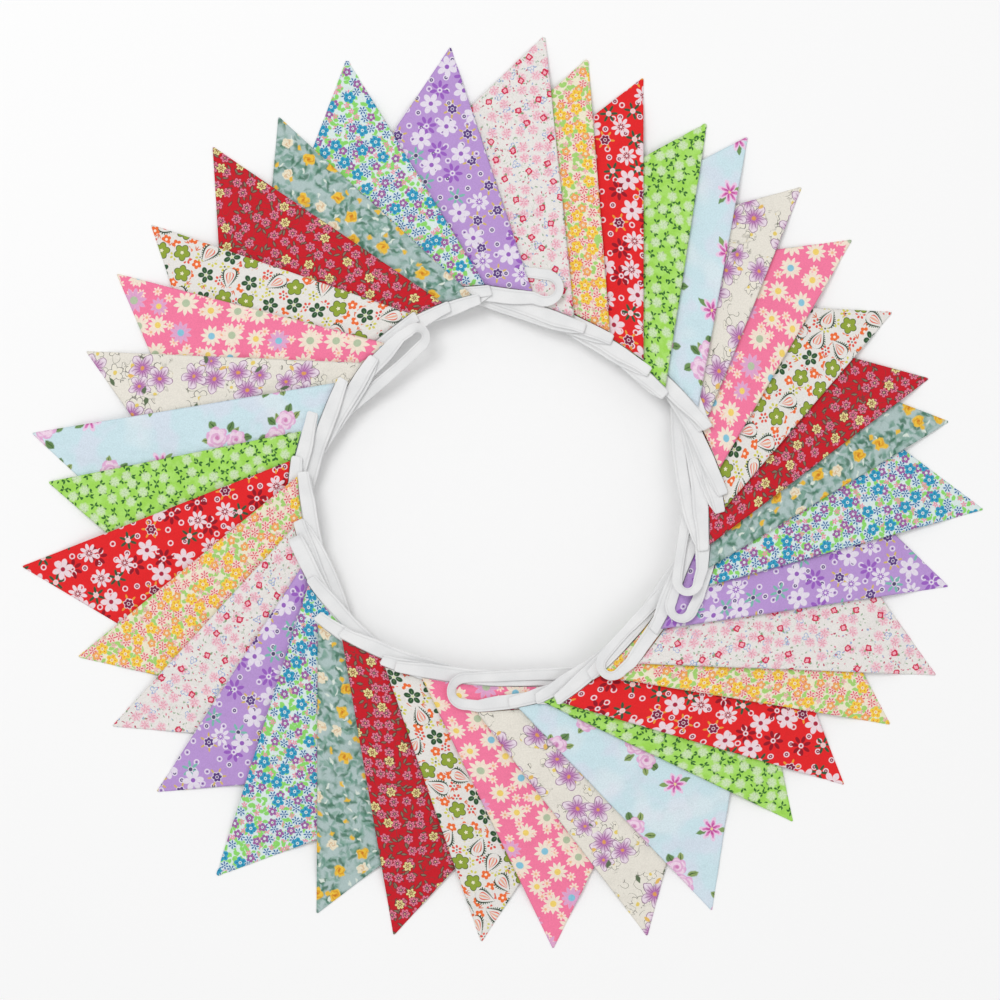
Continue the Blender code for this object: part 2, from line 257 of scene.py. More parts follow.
def pennant_mesh(number):
    """Two layers of cloth with turned-in edges, soft ripples and a rounded tip."""
    row = row_of(number)[0]
    slope = math.tan(math.radians(APEX_HALF_ANGLE))
    mesh = bmesh.new()
    prints = mesh.loops.layers.uv.new("UVMap")
    hems = mesh.loops.layers.uv.new("Hem")
    seed = Vector((number * 7.31, number * 3.17, 0.0))
    blunt = max(row.blunt, LEAST_BLUNT)
    nose = blunt * 0.5 / slope
    grid, flat = {}, {}
    for side in (0, 1):
        for i in range(ROWS + 1):
            along = (i / ROWS) ** 1.25 * (row.drop - nose * TIP_START) + nose * TIP_START
            wide = max(along - nose * TIP_SHORT, 0.0) * slope
            if along < nose * TIP_ROUND:
                before = (nose * TIP_ROUND - along) / nose
                wide = blunt * 0.5 * math.sqrt(max(0.0, 1.0 - before**2 * 0.9))
            for j in range(COLUMNS + 1):
                t = math.sin((j / COLUMNS - 0.5) * math.pi * 0.94) / math.sin(0.47 * math.pi)
                aside = wide * t
                spot = drawn_in(number, along, aside)
                rim = min(wide * (1.0 - abs(t)) * 0.9, along - nose * 0.5, row.drop - along + 3.0)
                full = math.sqrt(smoothstep(rim, -0.4, 1.6))
                thick = CLOTH_THICK * (RIM_SHARE + (1.0 - RIM_SHARE) * full)
                thick *= 1.0 - HEM_SHARE * smoothstep(rim, *HEM_ENDS)
                low = underside(spot, number)
                place = Vector((spot.x, spot.y, 0.0)) * RIPPLE_SCALE + seed
                ripple = sum(noise.noise(place * scale) * height for scale, height in RIPPLES)
                ripple *= smoothstep(row.drop - along, 0.0, 25.0) * smoothstep(along, 6.0, 60.0)
                middle = max(low + CLOTH_THICK * 0.5 + ripple, thick * 0.5 + 0.02)
                height = middle + thick * (0.5 if side else -0.5)
                vert = mesh.verts.new((spot.x, spot.y, height))
                grid[side, i, j] = vert
                hem = (max(rim, 0.0) * MM, (row.drop - along) * MM)
                flat[vert] = ((aside * MM, along * MM), hem)
    faces = []
    for i in range(ROWS):
        for j in range(COLUMNS):
            for side in (0, 1):
                a, b = grid[side, i, j], grid[side, i, j + 1]
                c, d = grid[side, i + 1, j + 1], grid[side, i + 1, j]
                faces.append((a, b, c, d) if side else (d, c, b, a))
        for j in (0, COLUMNS):
            faces.append((grid[0, i, j], grid[1, i, j], grid[1, i + 1, j], grid[0, i + 1, j]))
    for j in range(COLUMNS):
        for i in (0, ROWS):
            faces.append((grid[0, i, j], grid[1, i, j], grid[1, i, j + 1], grid[0, i, j + 1]))
    for corners in faces:
        for loop in mesh.faces.new(corners).loops:
            loop[prints].uv, loop[hems].uv = flat[loop.vert]
    return mesh


# Tape

PROFILE_WIDE = (1.0, 0.965, 0.86, 0.5, 0.0, -0.5, -0.86, -0.965)


def tape_profile():
    """Section of the folded tape: flat faces, rounded long edges."""
    past_flat = [max(0.0, abs(x) - 0.9) ** 2 / 0.01 for x in PROFILE_WIDE]
    high = [0.5 * math.sqrt(max(0.0, 1.0 - past)) * TAPE_THICK for past in past_flat]
    top = list(zip(PROFILE_WIDE, high))
    return top + [(-x, -y) for x, y in top]


class Ribbon:
    """Sections of the tape from end to end."""

    def __init__(self):
        self.rings = []
        self.lengths = [0.0]
        self.face = 1.0
        self.left = 1.0
        self.last = None

    def add(self, left, right, face):
        middle = (left + right) / 2.0
        if self.last is not None:
            self.lengths.append(self.lengths[-1] + (middle - self.last).length)
        self.last = middle
        half = (right - left) / 2.0
        up = face * self.face
        self.rings.append([middle + half * x + up * y for x, y in tape_profile()])

    def flat(self, centre, across, level, bank=0.0, width=1.0):
        """One section lying on the stack, or banked up on the edge that the sign names."""
        place = Vector((centre.x, centre.y, level * 9.0)) * 0.03
        uneven = min(1.0, 0.95 + 0.12 * noise.noise(place * 1.7))
        half = TAPE_WIDE / 2.0 * width * uneven
        ends = []
        for sign in (-1.0, 1.0):
            end = centre + across * (half * sign)
            height = underside(end, level) + TAPE_THICK / 2.0
            lifted = max(0.0, bank * sign)
            height += 0.2 * noise.noise(place * 1.3 + Vector((sign, 0.0, 0.0))) + lifted
            ends.append(Vector((end.x, end.y, height)))
        self.add(ends[0], ends[1], Vector((0.0, 0.0, 1.0)))

    def fold(self, centre, arriving, leaving, across, level, width=1.0):
        """A soft fold up onto the next half level, with its corners drawn in."""
        out = (arriving - leaving).normalized()
        crease = Vector((-out.y, out.x))
        if crease.dot(across) < 0.0:
            crease = -crease
        half = TAPE_WIDE / 2.0 * width / max(abs(crease.dot(across)), 0.5)
        ends = [centre - crease * half, centre + crease * half]
        low = [underside(end, level) + TAPE_THICK / 2.0 for end in ends]
        high = [underside(end, level + 0.5) + TAPE_THICK / 2.0 for end in ends]
        bend = [(upper - lower) / 2.0 for upper, lower in zip(high, low)]
        for step in range(FOLD_STEPS + 1):
            turn = math.pi * step / FOLD_STEPS
            face = Vector((-math.sin(turn) * out.x, -math.sin(turn) * out.y, math.cos(turn)))
            spots = []
            for side in (0, 1):
                drawn = centre.lerp(ends[side], 0.93 - 0.16 * math.sin(turn))
                spot = drawn + out * (1.7 * bend[side] * math.sin(turn))
                height = low[side] + bend[side] * (1.0 - math.cos(turn))
                spots.append(Vector((spot.x, spot.y, height)))
            self.add(spots[0], spots[1], face)
        self.face = -self.face

    def solid(self):
        mesh = bmesh.new()
        layers = mesh.loops.layers.uv.new("UVMap")
        rings = [[mesh.verts.new(point) for point in ring] for ring in self.rings]
        count = len(rings[0])
        around = [x * TAPE_WIDE / 2.0 for x, _ in tape_profile()]
        for index, (ring, after) in enumerate(zip(rings, rings[1:])):
            for side in range(count):
                following = (side + 1) % count
                face = mesh.faces.new((ring[side], ring[following], after[following], after[side]))
                places = (index, index, index + 1, index + 1)
                corners = (side, following, following, side)
                for loop, place, corner in zip(face.loops, places, corners):
                    loop[layers].uv = (self.lengths[place] * MM, around[corner] * MM)
        mesh.faces.new(rings[0])
        mesh.faces.new(rings[-1])
        return mesh


def bezier(points, share):
    rest = 1.0 - share
    start, first, second, end = points
    early = start * rest**3 + first * (3 * rest * rest * share)
    return early + second * (3 * rest * share * share) + end * share**3


def seam(number, aside):
    """Middle of the tape beside a point of the top edge, and the direction across it, inwards."""
    drop = row_of(number)[0].drop
    before, after = (drawn_in(number, drop, aside + step) for step in (-1.0, 1.0))
    along = (after - before).normalized()
    inwards = Vector((along.y, -along.x))
    return (before + after) / 2.0 + inwards * (SEAM_GAP + TAPE_WIDE / 2.0), inwards


def binding_run(number):
    """How far aside the tape starts on a pennant, and how far aside it leaves it."""
    row = row_of(number)[0]
    half = sides_of(number).half
    past = row.reach
    if row.turn == "loop":
        past -= (abs(row.wide) + TAPE_WIDE) / 2.0
    return half + past, -half - HEM_PAST_CORNER


def nose_width(number, away):
    """Share of its width that the tape keeps so far away from the turn before a pennant."""
    least = {"flat": NOSE_SHARE, "loop": LOOP_WIDTH, "end": 1.0}[row_of(number)[0].turn]
    return least + (1.0 - least) * smoothstep(away, 0.0, NOSE_RUN)


def lay_binding(tape, number):
    start, finish = binding_run(number)
    steps = round((start - finish) / BINDING_STEP)
    for step in range(1, steps):
        middle, inwards = seam(number, start + (finish - start) * step / steps)
        width = nose_width(number, (start - finish) * step / steps)
        middle = middle - inwards * ((1.0 - width) * TAPE_WIDE / 2.0)
        tape.flat(middle, inwards * tape.left, number, 0.0, width)


def lay_return(tape, number):
    """The fold after a pennant, the strand back along the ring, and the turn to the next one."""
    row = row_of(number + 1)[0]
    leave, inwards = seam(number, binding_run(number)[1])
    arrive, next_inwards = seam(number + 1, binding_run(number + 1)[0])
    onwards = Vector((next_inwards.y, -next_inwards.x))
    back = Vector((-inwards.y, inwards.x))
    if row.turn == "loop":
        arrive = arrive + next_inwards * row.wide
    run = (arrive - leave).normalized()
    middlewards = Vector((run.y, -run.x))
    if middlewards.dot(RING_CENTRE - leave) < 0.0:
        middlewards = -middlewards
    third = (arrive - leave).length / 3.0
    push = middlewards * (row.inward * 4.0 / 3.0)
    last = arrive - run * third + push
    if row.turn == "loop":
        last = arrive + onwards * third
    path = (leave, leave + run * third + push, last, arrive)
    tape.fold(leave, -back, (path[1] - path[0]).normalized(), inwards * tape.left, number)
    for step in range(1, RETURN_STEPS):
        share = step / RETURN_STEPS
        along = (bezier(path, share + 0.01) - bezier(path, share - 0.01)).normalized()
        across = Vector((-along.y, along.x))
        if across.dot(next_inwards) * tape.left < 0.0:
            across = -across
        width = STRAND_WIDTH + (1.0 - STRAND_WIDTH) * (2.0 * share - 1.0) ** 4
        if row.turn == "flat":
            width *= nose_width(number + 1, (1.0 - share) * 3.0 * third)
        else:
            width *= 1.0 - (1.0 - LOOP_WIDTH) * smoothstep(share, 0.5, 1.0)
        tape.flat(bezier(path, share), across, number + 0.5, 0.0, width)
    if row.turn == "flat":
        arriving = (path[3] - path[2]).normalized()
        arrive = arrive - next_inwards * ((1.0 - NOSE_SHARE) * TAPE_WIDE / 2.0)
        tape.fold(arrive, arriving, onwards, next_inwards * tape.left, number + 0.5, NOSE_SHARE)
        return
    middle = arrive - next_inwards * (row.wide / 2.0)
    side = math.copysign(1.0, row.wide)
    for step in range(LOOP_STEPS + 1):
        turn = math.pi * step / LOOP_STEPS
        out = next_inwards * (side * math.cos(turn)) - onwards * math.sin(turn)
        level = number + 0.5 + 0.5 * step / LOOP_STEPS
        upright = math.sin(turn) ** 2
        bank = LOOP_BANK * upright * side * tape.left
        centre = middle + out * (abs(row.wide) / 2.0 + LOOP_SPREAD * TAPE_WIDE * upright)
        width = LOOP_WIDTH - LOOP_PINCH * upright
        tape.flat(centre, out * (side * tape.left), level, bank, width)
    tape.left = -tape.left


def tape_mesh():
    tape = Ribbon()
    start, inwards = seam(FIRST_ON_STRING, binding_run(FIRST_ON_STRING)[0])
    tape.flat(start, inwards * tape.left, FIRST_ON_STRING)
    last = FIRST_ON_STRING + COUNT - 1
    for number in range(FIRST_ON_STRING, last + 1):
        lay_binding(tape, number)
        if number < last:
            lay_return(tape, number)
    finish, inwards = seam(last, binding_run(last)[1])
    tape.flat(finish, inwards * tape.left, last)
    return tape.solid(), tape.lengths[-1]


# Shader arithmetic


def add_node(tree, kind, inputs, **settings):
    """A shader node. An input takes a value, a socket or a Num."""
    node = tree.nodes.new("ShaderNode" + kind)
    for name, value in settings.items():
        setattr(node, name, value)
    for key, value in inputs.items():
        if isinstance(value, Num):
            value = value.socket
        if isinstance(value, bpy.types.NodeSocket):
            tree.links.new(value, node.inputs[key])
        else:
            node.inputs[key].default_value = value
    return node


class Num:
    """A number in a material, which takes the usual signs."""

    def __init__(self, tree, socket):
        self.tree = tree
        self.socket = socket

    def result(self, kind, *numbers):
        node = add_node(self.tree, "Math", dict(enumerate(numbers)), operation=kind)
        return Num(self.tree, node.outputs[0])

    def math(self, kind, *others):
        return self.result(kind, self, *others)

    def __add__(self, other):
        return self.result("ADD", self, other)

    def __sub__(self, other):
        return self.result("SUBTRACT", self, other)

    def __rsub__(self, other):
        return self.result("SUBTRACT", other, self)

    def __mul__(self, other):
        return self.result("MULTIPLY", self, other)

    def __truediv__(self, other):
        return self.result("DIVIDE", self, other)

    def below(self, edge, soft):
        """1 where the number is under the edge, 0 over it, over a soft width."""
        limits = {"From Min": edge - soft, "From Max": edge + soft, "To Min": 1.0, "To Max": 0.0}
        node = add_node(
            self.tree, "MapRange", {"Value": self, **limits}, interpolation_type="SMOOTHSTEP"
        )
        return Num(self.tree, node.outputs[0])

    def over(self, edge, soft):
        return 1.0 - self.below(edge, soft)

    def within(self, low, high):
        return self.math("COMPARE", (low + high) / 2.0, (high - low) / 2.0)


def linear(red, green, blue):
    """A printed colour, given as screen values from 0 to 255."""
    parts = []
    for value in (red, green, blue):
        value /= 255.0
        parts.append(value / 12.92 if value <= 0.04045 else ((value + 0.055) / 1.055) ** 2.4)
    return (*parts, 1.0)


Spot = collections.namedtuple("Spot", "x y r angle one two three")


class Print:
    """One printed cotton, drawn layer by layer in millimetres of cloth."""

    def __init__(self, name, ground, rough=0.82):
        self.material = bpy.data.materials.new(name)
        self.material.use_nodes = True
        self.tree = self.material.node_tree
        self.shader = self.tree.nodes["Principled BSDF"]
        self.shader.inputs["Roughness"].default_value = rough
        self.shader.inputs["Specular IOR Level"].default_value = 0.25
        self.shader.inputs["Sheen Weight"].default_value = 0.12
        self.shader.inputs["Sheen Roughness"].default_value = 0.5
        coords = add_node(self.tree, "UVMap", {}, uv_map="UVMap")
        self.uv = self.mapped(coords.outputs["UV"], (0, 0), 0.0, 1000.0)
        self.colour = add_node(self.tree, "RGB", {}).outputs[0]
        self.colour.default_value = linear(*ground)

    def mapped(self, socket, shift, turn, scale):
        node = add_node(
            self.tree,
            "Mapping",
            {
                "Vector": socket,
                "Location": (shift[0], shift[1], 0.0),
                "Rotation": (0.0, 0.0, math.radians(turn)),
                "Scale": (scale, scale, scale),
            },
        )
        return node.outputs[0]

    def grain(self, vector, size, detail):
        inputs = {"Vector": vector, "Scale": 1.0 / size, "Detail": detail}
        return add_node(self.tree, "TexNoise", inputs, noise_dimensions="2D")

    def smear(self, size, amount):
        """Pushes the drawing about, for a hand-painted edge."""
        colour = self.grain(self.uv, size, 1.0).outputs["Color"]
        less = self.vector("SUBTRACT", colour, (0.5, 0.5, 0.5))
        more = self.vector("SCALE", less, amount)
        return self.vector("ADD", self.uv, more)

    def vector(self, kind, first, second):
        other = "Scale" if kind == "SCALE" else 1
        node = add_node(self.tree, "VectorMath", {0: first, other: second}, operation=kind)
        return node.outputs[0]

    def noise(self, size, detail=2.0, shift=(0, 0)):
        grain = self.grain(self.mapped(self.uv, shift, 0.0, 1.0), size, detail)
        return Num(self.tree, grain.outputs["Fac"])

    def axes(self, vector):
        node = add_node(self.tree, "SeparateXYZ", {0: vector})
        return Num(self.tree, node.outputs["X"]), Num(self.tree, node.outputs["Y"])

    def scatter(self, cell, jitter, turn=0.0, shift=(0, 0), source=None):
        """Motif centres about a cell apart, and where each point lies from its nearest one."""
        place = self.mapped(source or self.uv, shift, turn, 1.0 / cell)
        inputs = {"Vector": place, "Scale": 1.0, "Randomness": jitter}
        cells = add_node(self.tree, "TexVoronoi", inputs, voronoi_dimensions="2D")
        x, y = self.axes(self.vector("SUBTRACT", place, cells.outputs["Position"]))
        x = x * cell
        y = y * cell
        random = add_node(self.tree, "SeparateColor", {0: cells.outputs["Color"]})
        one, two, three = (Num(self.tree, random.outputs[i]) for i in range(3))
        r = (x * x + y * y).math("SQRT")
        angle = y.math("ARCTAN2", x) + one * (2.0 * math.pi)
        return Spot(x, y, r, angle, one, two, three)

    def paint(self, mask, colour):
        inputs = {"Factor": mask, "A": self.colour, "B": linear(*colour)}
        self.colour = add_node(self.tree, "Mix", inputs, data_type="RGBA").outputs["Result"]

    def aside(self, spot, x, y):
        """The same motif, measured from a point beside its centre and turned with it."""
        x = spot.r * spot.angle.math("COSINE") - x
        y = spot.r * spot.angle.math("SINE") - y
        return spot._replace(x=x, y=y, r=(x * x + y * y).math("SQRT"), angle=y.math("ARCTAN2", x))

    def petal(self, spot, count, middle, long, wide, turn=0.0, pointed=False):
        """How far out a point lies in the nearest petal: 0 in its middle, 1 on its outline. A
        petal is given by how far out its middle is, half its length and half its width."""
        fold = (spot.angle + turn).math("PINGPONG", math.pi / count)
        ahead = (spot.r * fold.math("COSINE") - middle) / long
        beside = spot.r * fold.math("SINE") / wide
        return ahead * ahead + (beside if pointed else beside * beside)

    def petals(self, spot, count, middle, long, wide, soft=0.25, turn=0.0):
        return self.petal(spot, count, middle, long, wide, turn).below(1.0, soft)

    def dot(self, spot, radius, soft=0.25):
        return spot.r.below(radius, soft)

    def ring(self, spot, radius, half, soft=0.2):
        return (spot.r - radius).math("ABSOLUTE").below(half, soft)

    def leaf(self, spot, ahead, long, wide, turn=0.0, soft=0.25):
        """One pointed leaf beside the centre, turned with the motif."""
        angle = spot.angle + turn
        x = (spot.r * angle.math("COSINE") - ahead) / long
        y = spot.r * angle.math("SINE") / wide
        return (x * x + y.math("ABSOLUTE")).below(1.0, soft)

    def teardrop(self, spot, long, wide, bend):
        """How far out a point lies in a bent teardrop: 0 on its middle line, 1 on its outline."""
        x = spot.r * spot.angle.math("COSINE") / long
        y = spot.r * spot.angle.math("SINE")
        along = x.math("MAXIMUM", -0.995).math("MINIMUM", 0.995)
        half = (1.0 - along * along).math("SQRT") * (1.0 - along * 0.62) * wide
        middle = (along + 1.0) * (along + 1.0) * bend
        past = (x.math("ABSOLUTE") - 1.0).math("MAXIMUM", 0.0) * 30.0
        return (y - middle).math("ABSOLUTE") / half + past

    def veins(self, spot, count, soft=0.3):
        """Fine rays from the centre."""
        return (spot.angle * float(count)).math("SINE").over(0.55, soft)

    def done(self, weave=0.13, crease=6.0, hemmed=True):
        """Thread colour, weave, creases and the turned edge, common to all the cottons. Painted
        shade darkens the rim of each cloth, and on the tape the groove of its stitch line.
        """
        shade = self.noise(1.1, 3.0) * (2.0 * weave) + (1.0 - weave)
        height = self.noise(22.0, 3.0) * crease + self.noise(6.0, 2.0) * (0.14 * crease)
        for turn in (0.0, 90.0):
            threads = self.mapped(self.uv, (0, 0), turn, 1.0)
            inputs = {"Vector": threads, "Scale": 0.9, "Distortion": 0.6, "Detail": 0.0}
            wave = add_node(self.tree, "TexWave", inputs, wave_type="BANDS", bands_direction="X")
            height = height + Num(self.tree, wave.outputs["Fac"]) * 0.03
        if hemmed:
            hem = add_node(self.tree, "UVMap", {}, uv_map="Hem")
            inside = self.axes(self.mapped(hem.outputs["UV"], (0, 0), 0.0, 1000.0))[0]
            uneven = inside + self.noise(8.0, 1.0) * 1.6
            height = height + uneven.below(6.4, 0.9) * 0.16
            # Painted shade: the outer rim of the turned edge is darkened where it curves down away
            # from the light.
            shade = shade - inside.below(0.7, 0.5) * 0.09
        else:
            along, across = self.axes(self.uv)
            line = (across - STITCH_FROM_MIDDLE).math("ABSOLUTE")
            stitch = (along * (2.0 * math.pi / STITCH_LONG)).math("SINE").over(-0.6, 0.3)
            stitch = line.below(0.32, 0.15) * stitch
            height = height - line.below(0.6, 0.35) * 0.2 + stitch * 0.16
            # Painted shade: a darker line in the groove along the stitching.
            shade = shade - line.below(0.55, 0.4) * 0.07
            height = height + (along * 0.9 + self.noise(14.0, 1.0) * 30.0).math("SINE") * 0.02
        inputs = {"Factor": 1.0, "A": self.colour, "B": shade}
        tone = add_node(self.tree, "Mix", inputs, data_type="RGBA", blend_type="MULTIPLY")
        self.tree.links.new(tone.outputs["Result"], self.shader.inputs["Base Color"])
        bump = add_node(self.tree, "Bump", {"Strength": 0.6, "Distance": 0.001, "Height": height})
        self.tree.links.new(bump.outputs[0], self.shader.inputs["Normal"])
        return self.material


# The twelve prints: motif sizes in millimetres of cloth, colours as screen values


def tossed(name, ground, flower, heart, second, rays, star, sprig, sprig_heart, ring):
    """Open flowers, rayed stars, sprigs and ringed dots tossed over a plain ground."""
    p = Print(name, ground)
    dots = p.scatter(11.0, 0.55, 21.0, (3.1, 7.7))
    p.paint(p.ring(dots, 1.75, 0.45), flower)
    p.paint(p.dot(dots, 1.3) * dots.two.within(0.0, 0.5), ring)
    p.paint(p.dot(dots, 0.55) * dots.two.within(0.5, 1.0), ring)
    p.paint(p.dot(dots, 0.45) * dots.two.within(0.0, 0.5), flower)
    lower = p.scatter(21.0, 0.35, 33.0, (8.3, 1.9))
    a, b, c = lower.two.within(0.0, 0.34), lower.two.within(0.34, 0.68), lower.two.within(0.68, 1.0)
    p.paint(p.petals(lower, 7, 4.9, 2.7, 1.35) * a, second)
    p.paint(p.dot(lower, 1.9) * a, flower)
    p.paint(p.dot(lower, 0.9) * a, second)
    p.paint(p.petals(lower, 6, 5.4, 1.9, 0.75) * b, rays)
    p.paint(p.petals(lower, 6, 1.9, 2.3, 1.75) * b, flower)
    p.paint(p.petals(lower, 6, 1.7, 2.0, 1.3) * b, star)
    p.paint(p.ring(lower, 1.1, 0.22) * b, flower)
    p.paint(p.petals(lower, 6, 4.2, 2.6, 1.0) * c, sprig)
    p.paint(p.dot(lower, 2.0) * c, flower)
    p.paint(p.dot(lower, 1.5) * c, sprig_heart)
    upper = p.scatter(21.0, 0.35, 33.0, (18.9, 12.3))
    d, e = upper.two.within(0.0, 0.42), upper.two.within(0.42, 0.66)
    p.paint(p.petals(upper, 6, 4.9, 3.2, 2.15) * d, flower)
    p.paint(p.dot(upper, 3.0) * d, flower)
    p.paint(p.dot(upper, 1.7) * d, heart)
    p.paint(p.petals(upper, 8, 4.6, 2.7, 1.35) * e, flower)
    p.paint(p.dot(upper, 2.1) * e, flower)
    p.paint(p.ring(upper, 1.3, 0.3) * e, heart)
    p.paint(p.petals(upper, 8, 1.9, 0.9, 0.4) * e, second)
    return p.done()


def ditsy(name, ground, leaf, big, big_heart, middle, middle_heart, spoke, halo, blush):
    """Small five-petalled flowers and spoked ones crowded over leaves."""
    p = Print(name, ground)
    for cell, turn in ((5.0, 12.0), (5.9, 67.0)):
        leaves = p.scatter(cell, 0.85, turn, (turn, cell))
        on = leaves.two.within(0.0, 0.8)
        p.paint(p.leaf(leaves, 0.6, 2.3, 1.5, 0.0, 0.3) * on, leaf)
        p.paint(p.leaf(leaves, 0.4, 2.0, 1.2, 2.2, 0.3) * on, leaf)
    pale = p.scatter(6.1, 0.6, 40.0, (4.0, 9.0))
    p.paint(p.petals(pale, 5, 1.35, 1.05, 0.55, 0.3) * pale.two.within(0.0, 0.6), blush)
    pins = p.scatter(7.8, 0.5, 17.0, (2.2, 5.1))
    on = pins.two.within(0.0, 0.7)
    p.paint(p.petals(pins, 6, 1.9, 1.7, 1.5, 0.3) * on, halo)
    p.paint(p.petals(pins, 6, 2.1, 1.15, 0.5, 0.3) * on, spoke)
    p.paint(p.dot(pins, 0.6) * on, spoke)
    small = p.scatter(9.6, 0.5, 63.0, (7.0, 3.0))
    on = small.two.within(0.0, 0.5)
    p.paint(p.petals(small, 5, 1.9, 1.4, 1.25, 0.2) * on, middle)
    p.paint(p.petals(small, 5, 1.5, 0.6, 0.2, 0.3) * on, middle_heart)
    p.paint(p.ring(small, 0.8, 0.25) * on, ground)
    large = p.scatter(12.8, 0.5, 28.0, (9.0, 15.0))
    on = large.two.within(0.0, 0.56)
    p.paint(p.petals(large, 5, 2.6, 2.0, 1.75, 0.15) * on, big)
    p.paint(p.petals(large, 5, 2.5, 0.9, 0.3, 0.3) * on, big_heart)
    p.paint(p.dot(large, 1.2) * on, ground)
    p.paint(p.dot(large, 0.5) * on, big_heart)
    return p.done()


def grey_teal():
    p = Print("grey_teal_cotton", (178, 198, 196))
    wet = p.smear(4.0, 3.4)
    clump = p.noise(15.0, 1.0, (8, 3)).over(0.4, 0.12)
    for cell, turn, colour in (
        (6.6, 15.0, (124, 164, 150)),
        (7.7, 70.0, (98, 146, 128)),
        (9.4, 130.0, (136, 172, 158)),
        (8.4, 95.0, (62, 112, 88)),
    ):
        strokes = p.scatter(cell, 0.9, turn, (turn, cell), wet)
        p.paint(p.leaf(strokes, 0.0, 4.1, 1.3, 0.0, 0.75) * clump * 0.85, colour)
    pale = p.scatter(9.0, 0.8, 44.0, (4.0, 4.0), wet)
    p.paint(p.leaf(pale, 0.0, 2.4, 0.9, 0.0, 0.6) * pale.two.within(0.0, 0.45), (222, 232, 222))
    roses = p.scatter(17.0, 0.5, 24.0, (6.0, 11.0), wet)
    gold = roses.two.within(0.0, 0.45)
    cream = roses.two.within(0.45, 0.68)
    swirl = (roses.r * 1.9 + roses.angle * 2.0).math("SINE").over(0.25, 0.5)
    p.paint(p.petals(roses, 4, 2.2, 2.6, 2.6, 0.45) * gold, (240, 196, 66))
    p.paint(swirl * p.dot(roses, 3.6, 1.0) * gold * 0.8, (222, 150, 40))
    p.paint(p.dot(roses, 1.1, 0.7) * gold, (206, 124, 34))
    p.paint(p.petals(roses, 5, 2.2, 2.1, 2.0, 0.4) * cream, (238, 228, 202))
    p.paint(swirl * p.dot(roses, 3.0, 0.8) * cream * 0.6, (214, 166, 116))
    buds = p.scatter(13.0, 0.7, 57.0, (1.0, 8.0), wet)
    p.paint(p.leaf(buds, 0.0, 2.3, 1.5, 0.0, 0.5) * buds.two.within(0.0, 0.45), (236, 190, 64))
    return p.done()


def dark_red():
    p = Print("dark_red_cotton", (204, 22, 38))
    wet = p.smear(2.0, 0.9)
    stems = (p.noise(8.0, 0.0, (3, 1)) - 0.5).math("ABSOLUTE").below(0.014, 0.01)
    p.paint(stems * 0.85, (112, 62, 58))
    for cell, turn in ((6.4, 35.0), (7.6, 80.0)):
        leaves = p.scatter(cell, 0.8, turn, (2.0, turn), wet)
        on = leaves.two.within(0.0, 0.72)
        p.paint(p.leaf(leaves, 0.0, 2.9, 1.15) * on, (96, 34, 42))
        p.paint(p.leaf(leaves, 0.0, 2.3, 0.7) * on, (136, 118, 96))
    for cell, turn, share, rim, fill, heart in (
        (9.4, 20.0, 0.72, (150, 30, 58), (230, 126, 150), (104, 62, 84)),
        (15.0, 65.0, 0.5, (120, 60, 40), (238, 224, 156), (150, 120, 60)),
    ):
        bloom = p.scatter(cell, 0.42, turn, (cell, turn), wet)
        on = bloom.two.within(0.0, share)
        p.paint(p.petals(bloom, 6, 2.3, 1.65, 1.35, 0.2) * on, rim)
        p.paint(p.petals(bloom, 6, 2.3, 1.35, 1.05, 0.2) * on, fill)
        p.paint(p.petals(bloom, 6, 1.6, 1.0, 0.28, 0.3) * on, heart)
        p.paint(p.ring(bloom, 0.9, 0.25) * on, heart)
        p.paint(p.dot(bloom, 0.5) * on, (236, 200, 160))
    return p.done()


def ivory_paisley():
    p = Print("ivory_paisley_cotton", (234, 231, 226))
    twigs = p.scatter(10.0, 0.6, 8.0, (2.0, 8.0))
    on = twigs.two.within(0.0, 0.5)
    for turn in (0.0, 0.6, -0.7):
        p.paint(p.leaf(twigs, 1.8, 2.2, 0.4, turn) * on, (226, 120, 84))
    small = p.scatter(9.6, 0.4, 18.0, (3.0, 5.0))
    a, b, c = small.two.within(0.0, 0.42), small.two.within(0.42, 0.7), small.two.within(0.7, 0.96)
    p.paint(p.petals(small, 5, 2.1, 1.6, 1.4) * a, (242, 112, 54))
    p.paint(p.dot(small, 1.0) * a, (250, 240, 225))
    p.paint(p.petals(small, 6, 2.8, 1.2, 0.85) * b, (214, 208, 92))
    p.paint(p.dot(small, 0.7) * b, (72, 84, 50))
    p.paint(p.petals(small, 6, 2.7, 1.15, 0.9) * c, (228, 88, 74))
    p.paint(p.dot(small, 0.6) * c, (60, 60, 60))
    large = p.scatter(17.0, 0.3, 40.0, (6.0, 2.0))
    d, e, f = large.two.within(0.0, 0.36), large.two.within(0.36, 0.66), large.two.within(0.66, 1.0)
    p.paint(p.dot(large, 7.0, 0.5), (234, 231, 226))
    p.paint(p.petals(large, 5, 3.4, 3.1, 2.6, 0.12) * d, (76, 88, 34))
    p.paint(p.petals(large, 5, 3.2, 2.75, 2.25, 0.12) * d, (146, 166, 58))
    p.paint(p.dot(large, 1.4) * d, (96, 116, 44))
    p.paint(p.petals(large, 5, 0.7, 0.8, 0.5) * d, (240, 236, 200))
    p.paint(p.petals(large, 5, 3.7, 2.4, 1.85, 0.2) * e, (46, 84, 52))
    p.paint(p.petals(large, 5, 3.0, 1.2, 0.28, 0.3) * e, (104, 138, 92))
    p.paint(p.dot(large, 1.0) * e, (214, 222, 170))
    out = p.teardrop(large, 7.4, 4.3, 0.6)
    inner = p.teardrop(large, 4.4, 2.2, 0.4)
    spikes = (large.angle * 24.0).math("SINE").over(0.1, 0.3)
    p.paint((out - 1.2).math("ABSOLUTE").below(0.17, 0.06) * spikes * f, (56, 92, 60))
    p.paint((out - 1.0).math("ABSOLUTE").below(0.11, 0.05) * f, (44, 66, 48))
    p.paint((inner - 1.0).math("ABSOLUTE").below(0.2, 0.08) * f, (232, 110, 92))
    p.paint(inner.below(0.3, 0.1) * f, (238, 176, 150))
    return p.done()


